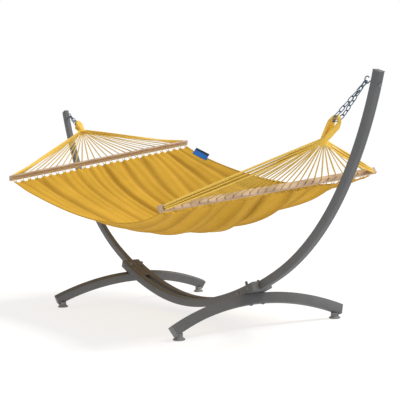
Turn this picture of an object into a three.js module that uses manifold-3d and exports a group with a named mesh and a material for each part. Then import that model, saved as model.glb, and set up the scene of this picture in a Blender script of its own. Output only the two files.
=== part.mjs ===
// A spreader-bar hammock hanging in an arc-shaped steel stand.
// Millimetres, +Z up, X along the hammock, Y across it. The origin is on the floor under the middle of the stand.
// Ends are named right (+X) and left (-X), sides are named front (-Y) and back (+Y).
import * as THREE from "three";
import { mergeVertices } from "three/addons/utils/BufferGeometryUtils.js";
import Module from "manifold-3d";

const wasm = await Module();
wasm.setup();

// ---- Driving dimensions ----

const gap = 0.3; // left between pieces that touch

// Arc of the stand: the top faces of the rails and arms follow one line, a chain of arcs from the middle outwards.
const lowestTop = 101; // height of that line over the floor at the middle
const arc = [
  { to: 322, radius: 1736 },
  { to: 1027, radius: 2556 },
  { to: 1730, radius: 1548 },
  { to: Infinity, radius: 1947 },
];
const wall = 2; // all steel tubes
const arcStep = 75; // longest facet along a curved tube

const railWidth = 45;
const railDepth = 50;
const railEnd = 830; // station along the arc where a rail stops
const armWidth = 35;
const armDepth = 50;
const armStart = 575; // station of the arm's lower end, between the rails
const armEnd = 2380;
const armSideGap = 0.5;

const footWidth = 40;
const footDepth = 60;
const footRadius = 1390; // top face of the arched cross bar
const footStation = 745;
const footHalfSpan = 580; // half the cross bar's length, measured straight across
const padRadius = 34;
const padNeckRadius = 22;
const padRim = 9;
const padInset = 50; // from the end of the cross bar to a pad's centre
const padOffset = footHalfSpan - padInset;

const capFlange = 5;
const capPlug = 22;
const capCorner = 3;
const plugGap = 1.2; // a straight plug in a curved tube

const boltRadius = 4;
const boltClearance = 0.4;
const boltHeadRadius = 11;
const boltHeadHeight = 6;
const footHeadGap = 1.2; // a flat head under a curved cross bar
const crossBoltStations = [670, 780];
const crossBoltDepth = 25;
const coverNutRadius = 8;
const coverNutHeight = 26;

const hookStation = 2320;
const hookWire = 6; // diameter
const hookRing = 17; // radius of the ring's centre line
const hookReach = 42; // from the arm's face to the ring's centre
const ringSteps = 14;
const hookNutRadius = 9;
const hookNutHeight = 12;

const linkWire = 5.5;
const linkInnerLength = 36;
const linkOuterWidth = 24;
const linkBite = 1.3; // how far neighbouring links press into each other
const strandOffset = 2.95; // the two strands sit side by side on the hook
const linkFacets = 4; // of each round end
const hangGap = 4; // between the hook's wire and the first links, and between the turn link and the eye

const eyeSection = [7, 10]; // half sizes of the eye's bundle, across and in its own plane
const eyeHole = 13.5; // half the width of the eye's opening
const gatherRadius = 20;

const barLength = 1450;
const barHeight = 38;
const barThickness = 18;
const barCorner = 3;
const stringCount = 27;
const stringPitch = 53.5;
const stringRadius = 2;
const stringHoleRadius = 2.8;

const bedWidth = 1400;
const bedThickness = 5;
const bedDrop = 45; // the end hems hang this far below the bars
const bedInset = 42; // and start this far inside them
const edgeSag = 110; // of a side edge, at mid length
const middleSag = 170; // more, along the middle
const sagSkew = 0.35; // shifts the deepest place towards the right end
const labelSize = [200, 48, 1.2];
const labelLift = 4; // over the bed's cloth

// How each end hangs: the number of links in a strand, how far the strands spread round the eye, the slope of the
// chain, and the places of gather and bar.
const ends = {
  right: { side: 1, links: 8, spread: 27, slope: 36.6, gather: [1408, 1037], bar: [965, 796], roll: 5.7 },
  left: { side: -1, links: 4, spread: 17, slope: 27, gather: [-1535, 1192], bar: [-1205, 980], roll: 8.6 },
};

// ---- Materials ----

const steel = new THREE.MeshStandardMaterial({ color: 0x7b7b7b, roughness: 0.5, metalness: 0.4 });
const capPlastic = new THREE.MeshStandardMaterial({ color: 0x8f8f8f, roughness: 0.6, metalness: 0 });
const footPlastic = new THREE.MeshStandardMaterial({ color: 0x6e6e6e, roughness: 0.7, metalness: 0 });
const zinc = new THREE.MeshStandardMaterial({ color: 0x59616a, roughness: 0.35, metalness: 0.9 });
const beech = new THREE.MeshStandardMaterial({ color: 0xd2b48f, roughness: 0.6, metalness: 0 });
const cotton = new THREE.MeshStandardMaterial({ color: 0xd9aa42, roughness: 0.95, metalness: 0 });
const cord = new THREE.MeshStandardMaterial({ color: 0xeccb73, roughness: 0.9, metalness: 0 });
const labelCloth = new THREE.MeshStandardMaterial({ color: 0x2a6fb5, roughness: 0.8, metalness: 0 });

// ---- Solids ----

const part = new THREE.Group();

function addMesh(name, geometry, material, placement) {
  const mesh = new THREE.Mesh(geometry, material);
  mesh.name = name;
  if (placement) placement.decompose(mesh.position, mesh.quaternion, mesh.scale);
  part.add(mesh);
  return mesh;
}

function toSolid(geometry) {
  const bare = geometry.index ? geometry.toNonIndexed() : geometry.clone();
  bare.deleteAttribute("normal");
  bare.deleteAttribute("uv");
  const merged = mergeVertices(bare, 1e-3);
  return new wasm.Manifold(
    new wasm.Mesh({
      numProp: 3,
      vertProperties: merged.attributes.position.array,
      triVerts: new Uint32Array(merged.index.array),
    }),
  );
}

function toGeometry(solid) {
  const { vertProperties, triVerts, numProp, numVert } = solid.getMesh();
  const positions = new Float32Array(numVert * 3);
  for (let i = 0; i < numVert; i++) {
    positions.set(vertProperties.subarray(i * numProp, i * numProp + 3), i * 3);
  }
  const geometry = new THREE.BufferGeometry();
  geometry.setAttribute("position", new THREE.BufferAttribute(positions, 3));
  geometry.setIndex(new THREE.BufferAttribute(triVerts, 1));
  geometry.computeVertexNormals();
  return geometry;
}

function cut(geometry, ...tools) {
  return toGeometry(tools.reduce((rest, tool) => rest.subtract(toSolid(tool)), toSolid(geometry)));
}

function join(...geometries) {
  return toGeometry(geometries.map(toSolid).reduce((whole, next) => whole.add(next)));
}

// A point in the XZ plane, at a distance across it.
const inPlane = ([x, z], y = 0) => new THREE.Vector3(x, y, z);

// A frame whose Z axis is `along` and whose X axis is as close as possible to `across`.
function frameAt(origin, along, across) {
  const z = along.clone().normalize();
  const hint = across ?? (Math.abs(z.y) > 0.9 ? new THREE.Vector3(1, 0, 0) : new THREE.Vector3(0, 1, 0));
  const x = hint.clone().addScaledVector(z, -hint.dot(z)).normalize();
  const y = z.clone().cross(x);
  return new THREE.Matrix4().makeBasis(x, y, z).setPosition(origin);
}

function roundedRectangle(width, height, corner) {
  const shape = new THREE.Shape();
  const [w, h, c] = [width / 2, height / 2, corner];
  shape.moveTo(-w + c, -h);
  shape.lineTo(w - c, -h).absarc(w - c, -h + c, c, -Math.PI / 2, 0);
  shape.lineTo(w, h - c).absarc(w - c, h - c, c, 0, Math.PI / 2);
  shape.lineTo(-w + c, h).absarc(-w + c, h - c, c, Math.PI / 2, Math.PI);
  shape.lineTo(-w, -h + c).absarc(-w + c, -h + c, c, Math.PI, 1.5 * Math.PI);
  return shape;
}

// A block of a flat outline, standing on z = 0.
function slab(shape, thickness) {
  return new THREE.ExtrudeGeometry(shape, { depth: thickness, bevelEnabled: false, curveSegments: 1 });
}

function lathe(profile, segments = 10) {
  const points = profile.map(([r, z]) => new THREE.Vector2(r, z));
  return new THREE.LatheGeometry(points, segments).rotateX(Math.PI / 2);
}

// A round bar between two points.
function rod(from, to, radius, sides = 8) {
  const axis = to.clone().sub(from);
  const profile = [
    [0, 0],
    [radius, 0],
    [radius, axis.length()],
    [0, axis.length()],
  ];
  return lathe(profile, sides).applyMatrix4(frameAt(from, axis));
}

// Skins rings of points, all with the same count, into one body. The ends are closed, or the last ring meets the first.
function skin(rings, closed) {
  const sides = rings[0].length;
  const indices = [];
  const spans = closed ? rings.length : rings.length - 1;
  for (let i = 0; i < spans; i++) {
    const [here, next] = [i * sides, ((i + 1) % rings.length) * sides];
    for (let j = 0; j < sides; j++) {
      const k = (j + 1) % sides;
      indices.push(here + j, here + k, next + j, here + k, next + k, next + j);
    }
  }
  const last = (rings.length - 1) * sides;
  for (let j = 1; !closed && j < sides - 1; j++) indices.push(0, j + 1, j, last, last + j, last + j + 1);
  const geometry = new THREE.BufferGeometry().setFromPoints(rings.flat());
  geometry.setIndex(indices);
  return geometry;
}

// A ring of points round a place, square to `along`: the first lies towards `across`.
function section(place, along, across, radius, radiusSide, sides) {
  const frame = frameAt(place, along, across);
  return Array.from({ length: sides }, (_, i) => {
    const angle = (2 * Math.PI * i) / sides;
    return new THREE.Vector3(radius * Math.cos(angle), radiusSide * Math.sin(angle), 0).applyMatrix4(frame);
  });
}

// A cord through a few points, its joints mitred.
function cordThrough(points, radius, sides, across) {
  const rings = points.map((point, i) => {
    const before = points[Math.max(i - 1, 0)];
    const after = points[Math.min(i + 1, points.length - 1)];
    const along = after.clone().sub(point).normalize().add(point.clone().sub(before).normalize());
    return section(point, along, across, radius, radius, sides);
  });
  return skin(rings, false);
}

// A closed loop of round or oval section through points in the plane y = 0.
function loopThrough(points, radius, radiusAcross, sides) {
  const rings = points.map((point, i) => {
    const before = points.at(i - 1);
    const after = points[(i + 1) % points.length];
    const outward = new THREE.Vector3(0, 1, 0).cross(after.clone().sub(before));
    return section(point, after.clone().sub(before), outward, radius, radiusAcross, sides);
  });
  return skin(rings, true);
}

// ---- The arc of the stand ----

// Place and slope of the arc's top line at a distance along it from the middle, negative to the left.
function station(s) {
  let [x, z, angle, done] = [0, lowestTop, 0, 0];
  for (const { to, radius } of arc) {
    const length = Math.min(Math.abs(s), to) - done;
    if (length <= 0) break;
    const next = angle + length / radius;
    x += radius * (Math.sin(next) - Math.sin(angle));
    z += radius * (Math.cos(angle) - Math.cos(next));
    [angle, done] = [next, to];
  }
  return s < 0 ? { x: -x, z, angle: -angle } : { x, z, angle };
}

// A point below the top line, square to it.
function below(s, depth) {
  const { x, z, angle } = station(s);
  return [x + depth * Math.sin(angle), z - depth * Math.cos(angle)];
}

function direction(s) {
  const { angle } = station(s);
  return new THREE.Vector3(Math.cos(angle), 0, Math.sin(angle));
}

// A band that follows the arc between two stations and two depths, from one y to another.
function arcBand(fromS, toS, topDepth, lowDepth, fromY, toY) {
  const steps = Math.ceil(Math.abs(toS - fromS) / arcStep);
  const stations = Array.from({ length: steps + 1 }, (_, i) => fromS + ((toS - fromS) * i) / steps);
  const outline = [
    ...stations.map((s) => below(s, topDepth)),
    ...stations.reverse().map((s) => below(s, lowDepth)),
  ];
  const shape = new THREE.Shape(outline.map(([x, z]) => new THREE.Vector2(x, z)));
  return slab(shape, toY - fromY).rotateX(Math.PI / 2).translate(0, toY, 0);
}

// A rectangular tube with open ends along the arc.
function arcTube(fromS, toS, depth, fromY, toY) {
  const past = Math.sign(toS - fromS);
  return cut(
    arcBand(fromS, toS, 0, depth, fromY, toY),
    arcBand(fromS - past, toS + past, wall, depth - wall, fromY + wall, toY - wall),
  );
}

// A push-in cap at the end of a tube: flange outside, plug inside. Its Z axis points out of the tube.
function endCap(width, depth) {
  const flange = slab(roundedRectangle(width, depth, capCorner), capFlange).translate(0, 0, gap);
  const inset = 2 * (wall + plugGap);
  const plug = slab(roundedRectangle(width - inset, depth - inset, 2), capPlug + 1).translate(0, 0, -capPlug);
  return join(flange, plug);
}

const capAt = (s, outward, width, depth, y) =>
  frameAt(inPlane(below(s, depth / 2), y), direction(s).multiplyScalar(outward));

// ---- Bolts ----

// A bolt from z = 0, under its head, to its plain end. The head is a shallow dome below z = 0.
function bolt(length) {
  return lathe([
    [0, -boltHeadHeight],
    [0.7 * boltHeadRadius, -0.8 * boltHeadHeight],
    [boltHeadRadius, 0],
    [boltRadius, 0],
    [boltRadius, length],
    [0, length],
  ]);
}

// A closed nut: its blind hole opens at z = 0.
function coverNut(radius, height, holeDepth) {
  return lathe([
    [0, holeDepth],
    [boltRadius + boltClearance, holeDepth],
    [boltRadius + boltClearance, 0],
    [radius, 0],
    [radius, height - 0.4 * radius],
    [0.6 * radius, height],
    [0, height],
  ]);
}

const boltHole = (from, to) => rod(from, to, boltRadius + boltClearance);

// ---- Rails, arms and cross bars ----

const railInner = armWidth / 2 + armSideGap;
const railOuter = railInner + railWidth;
const railMiddle = (railInner + railOuter) / 2;
const sides = { front: -1, back: 1 };

// The arched cross bar in its own plane: x across the stand, y down from the rails' top line, extruded along the rails.
function footBand(topDepth, lowDepth, width, overrun = 0) {
  const half = Math.asin(footHalfSpan / footRadius) + overrun / footRadius;
  const steps = Math.ceil((2 * footHalfSpan) / arcStep);
  const centre = -railDepth - gap - footRadius;
  const at = (i, depth) => {
    const angle = -half + (2 * half * i) / steps;
    const radius = footRadius - depth;
    return new THREE.Vector2(radius * Math.sin(angle), centre + radius * Math.cos(angle));
  };
  const count = Array.from({ length: steps + 1 }, (_, i) => i);
  const shape = new THREE.Shape([
    ...count.map((i) => at(i, topDepth)),
    ...count.reverse().map((i) => at(i, lowDepth)),
  ]);
  return slab(shape, width).translate(0, 0, -width / 2);
}

// The cross bar's frame: X is the row's Y, Y is square up from the rails, Z points out along them.
function footFrame(side) {
  const s = side * footStation;
  const { x, z } = station(s);
  const up = new THREE.Vector3(0, 1, 0).cross(direction(s)).negate();
  const across = up.clone().cross(direction(s));
  return new THREE.Matrix4().makeBasis(across, up, direction(s)).setPosition(x, 0, z);
}

function footPoint(side, y, depth, along = 0) {
  return new THREE.Vector3(y, -depth, along).applyMatrix4(footFrame(side));
}

const footBoltLength = railDepth + gap + footDepth + coverNutHeight - 12;

for (const [front, ySide] of Object.entries(sides)) {
  const holes = [];
  for (const side of [-1, 1]) {
    for (const s of crossBoltStations) {
      const [x, z] = below(side * s, crossBoltDepth);
      holes.push(boltHole(new THREE.Vector3(x, -railOuter - 5, z), new THREE.Vector3(x, railOuter + 5, z)));
    }
    const y = ySide * railMiddle;
    holes.push(boltHole(inPlane(below(side * footStation, -5), y), inPlane(below(side * footStation, railDepth + 5), y)));
  }
  const [fromY, toY] = ySide < 0 ? [-railOuter, -railInner] : [railInner, railOuter];
  addMesh(`rail_${front}`, cut(arcTube(-railEnd, railEnd, railDepth, fromY, toY), ...holes), steel);
}

for (const [end, { side }] of Object.entries(ends)) {
  // Curved arm, with holes for the two cross bolts and the hook.
  const armHoles = crossBoltStations.map((s) => {
    const [x, z] = below(side * s, crossBoltDepth);
    return boltHole(new THREE.Vector3(x, -armWidth, z), new THREE.Vector3(x, armWidth, z));
  });
  armHoles.push(
    rod(inPlane(below(side * hookStation, -9)), inPlane(below(side * hookStation, armDepth + 9)), hookWire / 2 + boltClearance),
  );
  const arm = arcTube(side * armStart, side * armEnd, armDepth, -armWidth / 2, armWidth / 2);
  addMesh(`arm_${end}`, cut(arm, ...armHoles), steel);
  addMesh(`arm_cap_${end}`, endCap(armWidth, armDepth), capPlastic, capAt(side * armEnd, side, armWidth, armDepth, 0));

  // Arched cross bar with its two caps and two pads.
  const barHoles = Object.values(sides).map((ySide) =>
    rod(
      new THREE.Vector3(ySide * railMiddle, -railDepth + 5, 0),
      new THREE.Vector3(ySide * railMiddle, -railDepth - footDepth - 9, 0),
      boltRadius + boltClearance,
    ),
  );
  const crossBar = cut(
    footBand(0, footDepth, footWidth),
    footBand(wall, footDepth - wall, footWidth - 2 * wall, 1),
    ...barHoles,
  );
  addMesh(`foot_bar_${end}`, crossBar, steel, footFrame(side));
  const barEnvelope = footBand(-gap, footDepth + gap, footWidth + 2 * gap, 1).applyMatrix4(footFrame(side));

  for (const [front, ySide] of Object.entries(sides)) {
    const angle = Math.asin(footHalfSpan / footRadius);
    const middleRadius = footRadius - footDepth / 2;
    const tip = footPoint(
      side,
      ySide * middleRadius * Math.sin(angle),
      railDepth + gap + footRadius - middleRadius * Math.cos(angle),
    );
    const outward = new THREE.Vector3(ySide * Math.cos(angle), -Math.sin(angle), 0).transformDirection(footFrame(side));
    const along = new THREE.Vector3(0, 0, 1).transformDirection(footFrame(side));
    addMesh(`foot_cap_${end}_${front}`, endCap(footWidth, footDepth), capPlastic, frameAt(tip, outward, along));

    // A flared pad under the cross bar, its top cut to the bar's slope.
    const dip = footRadius - Math.sqrt(footRadius ** 2 - padOffset ** 2);
    const seat = footPoint(side, ySide * padOffset, railDepth + gap + dip + footDepth / 2);
    const lowerFace = footPoint(side, ySide * padOffset, railDepth + gap + dip + footDepth);
    const pad = lathe([
      [0, 0],
      [padRadius, 0],
      [padRadius, padRim * 0.6],
      [padRadius * 0.86, padRim],
      [padNeckRadius, padRim * 1.9],
      [padNeckRadius * 0.9, lowerFace.z + 4],
      [0, lowerFace.z + 4],
    ]).translate(seat.x, seat.y, 0);
    addMesh(`foot_pad_${end}_${front}`, cut(pad, barEnvelope), footPlastic);

    // The bolt that holds rail and cross bar together, with a tall closed nut on top.
    const y = ySide * railMiddle;
    const up = new THREE.Vector3(0, 1, 0).transformDirection(footFrame(side));
    const barDip = footRadius - Math.sqrt(footRadius ** 2 - y ** 2);
    const headSeat = footPoint(side, y, railDepth + gap + barDip + footDepth + footHeadGap);
    const boltLength = footBoltLength + barDip;
    addMesh(`foot_bolt_${end}_${front}`, bolt(boltLength), zinc, frameAt(headSeat, up));
    const nut = coverNut(coverNutRadius, coverNutHeight, coverNutHeight - 6);
    addMesh(`foot_nut_${end}_${front}`, nut, capPlastic, frameAt(footPoint(side, y, -gap), up));
  }

  // Two cross bolts through front rail, arm and back rail.
  crossBoltStations.forEach((s, i) => {
    const [x, z] = below(side * s, crossBoltDepth);
    const place = ["lower", "upper"][i];
    const towardBack = new THREE.Vector3(0, 1, 0);
    const across = new THREE.Vector3(1, 0, 0);
    const shank = bolt(2 * railOuter + gap + 8);
    const head = new THREE.Vector3(x, -railOuter - gap, z);
    addMesh(`cross_bolt_${end}_${place}`, shank, zinc, frameAt(head, towardBack, across));
    const nut = coverNut(boltHeadRadius, 14, 10);
    addMesh(`cross_nut_${end}_${place}`, nut, capPlastic, frameAt(new THREE.Vector3(x, railOuter + gap, z), towardBack, across));
  });
}

for (const [end, { side }] of Object.entries(ends)) {
  for (const [front, ySide] of Object.entries(sides)) {
    const cap = endCap(railWidth, railDepth);
    addMesh(`rail_cap_${end}_${front}`, cap, capPlastic, capAt(side * railEnd, side, railWidth, railDepth, ySide * railMiddle));
  }
}

// ---- Hooks ----

// Centre of the hook's ring, in the XZ plane.
const ringCentre = (side) => inPlane(below(side * hookStation, -hookReach));

// The way a chain runs from its hook.
function chainDirection({ side, slope }) {
  const angle = THREE.MathUtils.degToRad(slope);
  return new THREE.Vector3(-side * Math.cos(angle), 0, -Math.sin(angle));
}

for (const [end, { side }] of Object.entries(ends)) {
  const centre = ringCentre(side);
  const outward = inPlane(below(side * hookStation, 0)).sub(centre).normalize();
  const low = new THREE.Vector3(outward.z, 0, -outward.x).multiplyScalar(side);
  const ringPoint = (angle, radius = hookRing) =>
    centre.clone().addScaledVector(outward, radius * Math.cos(angle)).addScaledVector(low, radius * Math.sin(angle));
  // Straight shank through the arm, a short bend, then three quarters of a ring that ends open at the top.
  const shank = [armDepth + hookNutHeight - 3, -12].map((depth) => inPlane(below(side * hookStation, depth)));
  const ring = Array.from({ length: ringSteps + 1 }, (_, i) => ringPoint(0.35 + (i * 1.6 * Math.PI) / ringSteps));
  const across = new THREE.Vector3(0, 1, 0);
  addMesh(`hook_${end}`, cordThrough([...shank, ...ring], hookWire / 2, 8, across), zinc);
  const nutSeat = inPlane(below(side * hookStation, armDepth + gap));
  addMesh(`hook_nut_${end}`, coverNut(hookNutRadius, hookNutHeight, hookNutHeight - 2.5), capPlastic, frameAt(nutSeat, outward));
}

// ---- Chains ----

// One link, lying in its own XZ plane with its length along Z and its middle at the origin.
function chainLink() {
  const radius = (linkOuterWidth - linkWire) / 2;
  const straight = (linkInnerLength + linkWire) / 2 - radius;
  const points = [];
  for (const [end, from] of [
    [1, 0],
    [-1, Math.PI],
  ]) {
    for (let i = 0; i <= linkFacets; i++) {
      const angle = from + (Math.PI * i) / linkFacets;
      points.push(new THREE.Vector3(radius * Math.cos(angle), 0, end * straight + radius * Math.sin(angle)));
    }
  }
  return loopThrough(points, linkWire / 2, linkWire / 2, 4);
}

// A chain hangs doubled: two strands from the hook, spread round the eye, and one link across the turn between them.
function chainPlaces(end) {
  const along = chainDirection(end);
  const bearing = ringCentre(end.side).addScaledVector(along, hookRing);
  const pitch = linkInnerLength + linkBite;
  const first = linkWire / 2 - linkBite / 2 - (hookWire / 2 + hangGap + linkWire / 2); // of the strands, from the bearing
  const turnHalf = pitch / 2;
  const knee = first + Math.sqrt((pitch * (end.links - 1)) ** 2 - end.spread ** 2);
  const last = knee + Math.sqrt(pitch ** 2 - (end.spread - turnHalf + linkWire / 2) ** 2);
  const turn = bearing.clone().addScaledVector(along, last + linkWire / 2 - linkBite / 2);
  const eyeTop = turn
    .clone()
    .addScaledVector(along, -(linkOuterWidth / 2 + hangGap + eyeSection[1]));
  return { along, bearing, pitch, first, knee, last, turn, eyeTop, turnHalf };
}

for (const [name, end] of Object.entries(ends)) {
  const { along, bearing, pitch, first, knee, last, turn, turnHalf } = chainPlaces(end);
  const across = new THREE.Vector3(0, 1, 0);
  const normal = across.clone().cross(along);
  const links = [];
  const place = (strand, down, aside, offset) =>
    bearing
      .clone()
      .addScaledVector(along, down)
      .addScaledVector(across, strand * aside)
      .addScaledVector(normal, strand * offset);
  for (const strand of [-1, 1]) {
    const top = place(strand, first, 0, strandOffset);
    const low = place(strand, knee, end.spread, strandOffset);
    const run = low.clone().sub(top).normalize();
    for (let i = 0; i < end.links - 1; i++) {
      const middle = top.clone().addScaledVector(run, pitch * (i + 0.5));
      links.push(chainLink().applyMatrix4(frameAt(middle, run, i % 2 ? normal : across)));
    }
    const foot = place(strand, last, turnHalf - linkWire / 2, strandOffset);
    const middle = low.clone().add(foot).divideScalar(2);
    links.push(chainLink().applyMatrix4(frameAt(middle, foot.clone().sub(low), normal)));
  }
  const turnRun = across.clone().multiplyScalar(turnHalf).addScaledVector(normal, strandOffset);
  links.push(chainLink().applyMatrix4(frameAt(turn, turnRun, along)));
  addMesh(`chain_${name}`, join(...links), zinc);
}

// ---- Eyes, strings and spreader bars ----

// The frame of a spreader bar: X towards the gather, Y along the bar, Z across its wide face.
function barFrame(end) {
  const centre = inPlane(end.bar);
  const roll = THREE.MathUtils.degToRad(end.roll);
  const length = new THREE.Vector3(0, Math.cos(roll), Math.sin(roll));
  const pull = inPlane(end.gather).sub(centre);
  const thick = pull.addScaledVector(length, -pull.dot(length)).normalize();
  return new THREE.Matrix4().makeBasis(thick, length, thick.clone().cross(length)).setPosition(centre);
}

const stringPlaces = Array.from({ length: stringCount }, (_, i) => (i - (stringCount - 1) / 2) * stringPitch);

// The bed's middle surface: q runs from the left bar to the right one, t from the front edge (-1) to the back (1).
function bedPoint(q, t) {
  const mix = (a, b) => a + (b - a) * q;
  const roll = THREE.MathUtils.degToRad(mix(ends.left.roll, ends.right.roll));
  const x = mix(ends.left.bar[0] + bedInset, ends.right.bar[0] - bedInset);
  const bow = 4 * q * (1 - q);
  const sag = bow * (1 + sagSkew * (2 * q - 1));
  const half = (bedWidth / 2) * t;
  const y = half * Math.cos(roll) * (1 - 0.04 * bow);
  const level = mix(ends.left.bar[1], ends.right.bar[1]) - bedDrop;
  const z = level + half * Math.sin(roll) - edgeSag * sag - middleSag * sag * (1 - t * t);
  return new THREE.Vector3(x, y, z);
}

for (const [name, end] of Object.entries(ends)) {
  const { eyeTop } = chainPlaces(end);
  const gather = inPlane(end.gather);

  // The eye: a padded loop round the chain's turn, tapering into the neck that holds the strings.
  const axis = gather.clone().sub(eyeTop).normalize();
  const local = frameAt(eyeTop, axis, new THREE.Vector3(0, 1, 0).cross(axis));
  const length = gather.distanceTo(eyeTop);
  const legRadius = eyeHole + eyeSection[1];
  const points = [];
  for (let i = 0; i <= 8; i++) {
    const angle = Math.PI + (Math.PI * i) / 8;
    points.push(new THREE.Vector3(legRadius * Math.cos(angle), 0, legRadius + legRadius * Math.sin(angle)));
  }
  const neck = length - 34;
  points.push(new THREE.Vector3(legRadius * 0.75, 0, neck * 0.72));
  points.push(new THREE.Vector3(eyeSection[1] * 0.4, 0, neck));
  points.push(new THREE.Vector3(-eyeSection[1] * 0.4, 0, neck));
  points.push(new THREE.Vector3(-legRadius * 0.75, 0, neck * 0.72));
  const loop = loopThrough(points, eyeSection[1], eyeSection[0], 8);
  const collar = lathe(
    [
      [0, neck - 26],
      [0.7 * gatherRadius, neck - 20],
      [0.8 * gatherRadius, neck + 10],
      [gatherRadius, length - gap],
      [0, length - gap],
    ],
  );
  addMesh(`eye_${name}`, join(loop, collar), cotton, local);

  // Spreader bar with a row of drilled holes.
  const frame = barFrame(end);
  const bar = slab(roundedRectangle(barThickness, barHeight, barCorner), barLength)
    .translate(0, 0, -barLength / 2)
    .rotateX(-Math.PI / 2);
  const holes = stringPlaces.map((y) =>
    rod(new THREE.Vector3(-barThickness, y, 0), new THREE.Vector3(barThickness, y, 0), stringHoleRadius, 6),
  );
  addMesh(`spreader_bar_${name}`, cut(bar, ...holes), beech, frame);

  // The strings: from the gather, through the bar's holes, to the bed's end hem.
  const hemQ = end.side > 0 ? 1 : 0;
  const wideWay = new THREE.Vector3().setFromMatrixColumn(frame, 2);
  const strings = stringPlaces.map((y) => {
    const start = gather.clone().addScaledVector(axis, 4).add(new THREE.Vector3(0, y * 0.016, 0));
    const outer = new THREE.Vector3(barThickness / 2 + 1, y, 0).applyMatrix4(frame);
    const inner = new THREE.Vector3(-barThickness / 2 - 1, y, 0).applyMatrix4(frame);
    const hem = bedPoint(hemQ, y / (bedWidth / 2));
    const last = inner.clone().lerp(hem, 1 - (bedThickness / 2 + 1.5) / inner.distanceTo(hem));
    return cordThrough([start, outer, inner, last], stringRadius, 4, wideWay);
  });
  const bundle = lathe(
    [
      [0, 0],
      [0.95 * gatherRadius, 0],
      [0.9 * gatherRadius, 22],
      [0.4 * gatherRadius, 34],
      [0, 34],
    ],
  ).applyMatrix4(frameAt(gather, axis));
  addMesh(`strings_${name}`, join(bundle, ...strings), cord);
}

// ---- Bed and label ----

function bed() {
  const [along, across] = [16, 10];
  const positions = [];
  const indices = [];
  const index = (i, j, face) => (face * (along + 1) + i) * (across + 1) + j;
  for (const face of [0, 1]) {
    for (let i = 0; i <= along; i++) {
      for (let j = 0; j <= across; j++) {
        const place = bedPoint(i / along, (2 * j) / across - 1);
        positions.push(place.x, place.y, place.z + (face - 0.5) * bedThickness);
      }
    }
  }
  const quad = (a, b, c, d) => indices.push(a, b, c, a, c, d);
  for (let i = 0; i < along; i++) {
    for (let j = 0; j < across; j++) {
      quad(index(i, j, 1), index(i + 1, j, 1), index(i + 1, j + 1, 1), index(i, j + 1, 1));
      quad(index(i, j, 0), index(i, j + 1, 0), index(i + 1, j + 1, 0), index(i + 1, j, 0));
    }
    quad(index(i, 0, 0), index(i + 1, 0, 0), index(i + 1, 0, 1), index(i, 0, 1));
    quad(index(i, across, 1), index(i + 1, across, 1), index(i + 1, across, 0), index(i, across, 0));
  }
  for (let j = 0; j < across; j++) {
    quad(index(0, j, 1), index(0, j + 1, 1), index(0, j + 1, 0), index(0, j, 0));
    quad(index(along, j, 0), index(along, j + 1, 0), index(along, j + 1, 1), index(along, j, 1));
  }
  const geometry = new THREE.BufferGeometry();
  geometry.setAttribute("position", new THREE.Float32BufferAttribute(positions, 3));
  geometry.setIndex(indices);
  geometry.computeVertexNormals();
  return geometry;
}
addMesh("bed", bed(), cotton);

// A blank cloth label on the back edge, near the left bar.
// It is sewn on just inside the back edge and stands up past it.
const labelPlace = bedPoint(0.12, 0.965);
const labelAlong = bedPoint(0.14, 0.965).sub(bedPoint(0.1, 0.965)).normalize();
const labelAcross = bedPoint(0.12, 1).sub(bedPoint(0.12, 0.93)).normalize().multiplyScalar(0.75);
labelAcross.z += 0.66;
labelAcross.addScaledVector(labelAlong, -labelAcross.dot(labelAlong)).normalize();
const labelNormal = labelAlong.clone().cross(labelAcross).normalize();
labelPlace.addScaledVector(labelAcross, labelSize[1] / 2);
const labelGeometry = slab(roundedRectangle(labelSize[0], labelSize[1], 2), labelSize[2]);
labelPlace.addScaledVector(labelNormal, bedThickness / 2 + labelLift);
addMesh("label", labelGeometry, labelCloth, frameAt(labelPlace, labelNormal, labelAlong));

export default part;
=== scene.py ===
import math

import bmesh
import bpy
from mathutils import Matrix, Vector, noise


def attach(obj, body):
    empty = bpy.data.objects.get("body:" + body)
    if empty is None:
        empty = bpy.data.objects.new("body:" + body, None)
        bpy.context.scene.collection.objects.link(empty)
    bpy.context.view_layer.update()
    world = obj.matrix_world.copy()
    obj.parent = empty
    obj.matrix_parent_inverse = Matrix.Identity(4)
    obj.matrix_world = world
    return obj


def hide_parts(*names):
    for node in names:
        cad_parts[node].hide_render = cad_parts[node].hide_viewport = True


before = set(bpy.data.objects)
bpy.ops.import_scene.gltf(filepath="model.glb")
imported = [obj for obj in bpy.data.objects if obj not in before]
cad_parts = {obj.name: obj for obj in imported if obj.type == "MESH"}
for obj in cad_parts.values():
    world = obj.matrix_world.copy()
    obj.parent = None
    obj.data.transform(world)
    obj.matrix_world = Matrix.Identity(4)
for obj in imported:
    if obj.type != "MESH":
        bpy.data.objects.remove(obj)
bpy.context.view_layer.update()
bpy.ops.object.select_all(action="DESELECT")

# ---- Camera, floor and light ----
# The camera stands low at the front right. The floor is a pale studio sweep that glows a little, so it stays
# white, under an even white sky and one broad, soft sun from high behind on the right.

heading, dip, lean = math.radians(59.337), math.radians(2.635), math.radians(-1.925)
forward = Vector((-math.sin(heading) * math.cos(dip), math.cos(heading) * math.cos(dip), -math.sin(dip)))
level = Vector((math.cos(heading), math.sin(heading), 0))
upward = level.cross(forward)
camera = bpy.data.objects.new("camera", bpy.data.cameras.new("camera"))
bpy.context.scene.collection.objects.link(camera)
camera_place = (5.5366, -3.1829, 1.0027)
camera.matrix_world = Matrix.Translation(camera_place) @ Matrix((
    level * math.cos(lean) + upward * math.sin(lean),
    upward * math.cos(lean) - level * math.sin(lean),
    -forward,
)).transposed().to_4x4()
camera.data.lens = 91.4
camera.data.sensor_width = 36
camera.data.clip_end = 200
bpy.context.scene.camera = camera
bpy.context.scene.view_settings.view_transform = "Standard"


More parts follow.
